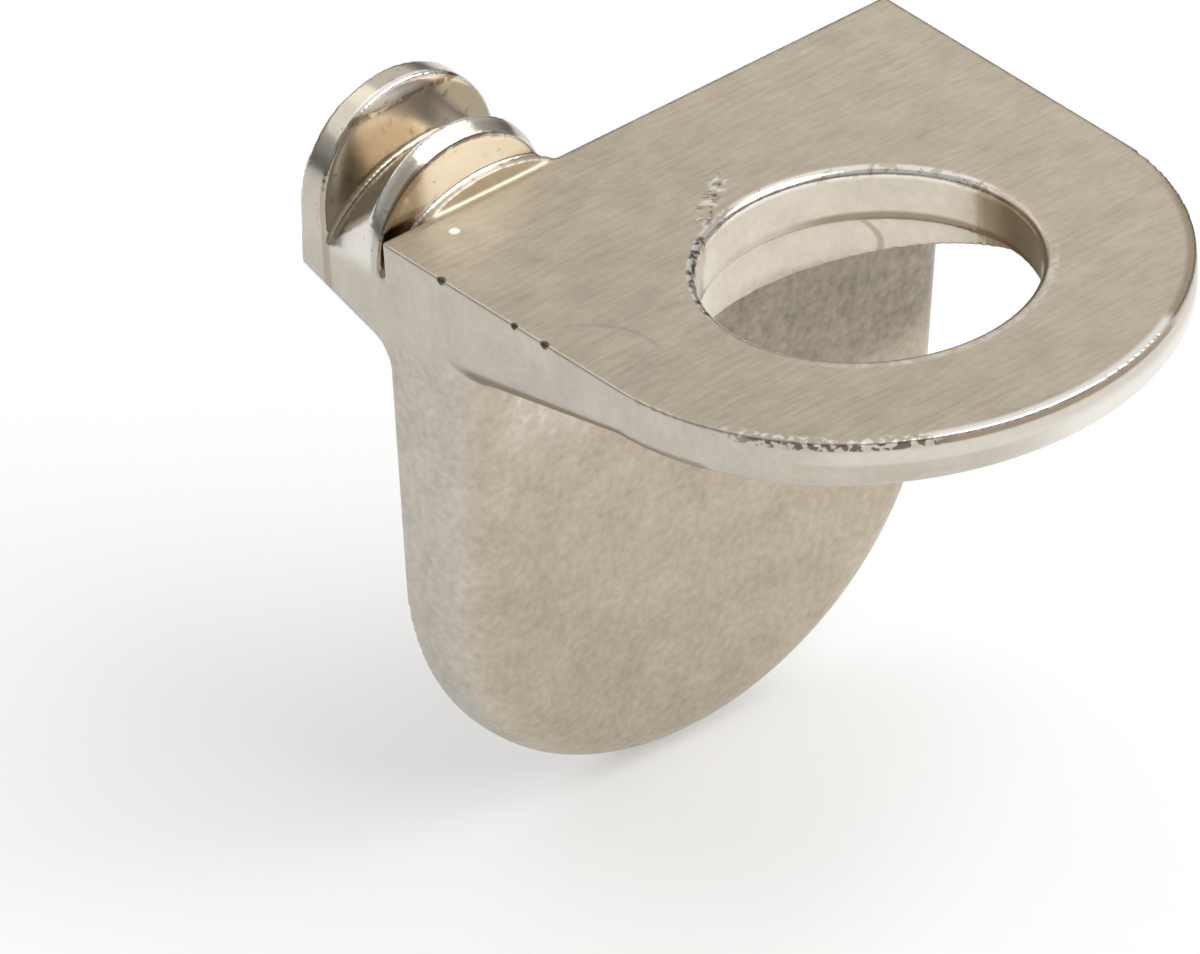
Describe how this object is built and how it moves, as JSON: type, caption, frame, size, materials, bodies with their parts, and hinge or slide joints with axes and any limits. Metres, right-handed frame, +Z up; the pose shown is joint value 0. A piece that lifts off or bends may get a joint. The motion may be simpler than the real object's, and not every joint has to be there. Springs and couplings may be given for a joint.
{
  "type": "shelf support",
  "caption": "Cast shelf support: a round-nosed plate with a large hole, a drafted leg against the cabinet side, and a barbed claw that hooks into a drilled hole.",
  "frame": {"origin": "middle of the plate's top edge at the cabinet side, where the shelf plane meets the cabinet side", "axes": "+Z up, away from the shelf's underside; +Y into the cabinet side, the way the claw points; +X along the cabinet side"},
  "size_m": [0.0148, 0.0187, 0.0184],
  "materials": {
    "nickel_plate": "satin nickel plate on a zinc casting, with fine brush lines on the plate"
  },
  "bodies": {
    "root": {"shelf_support": "nickel_plate"}
  },
  "joints": []
}
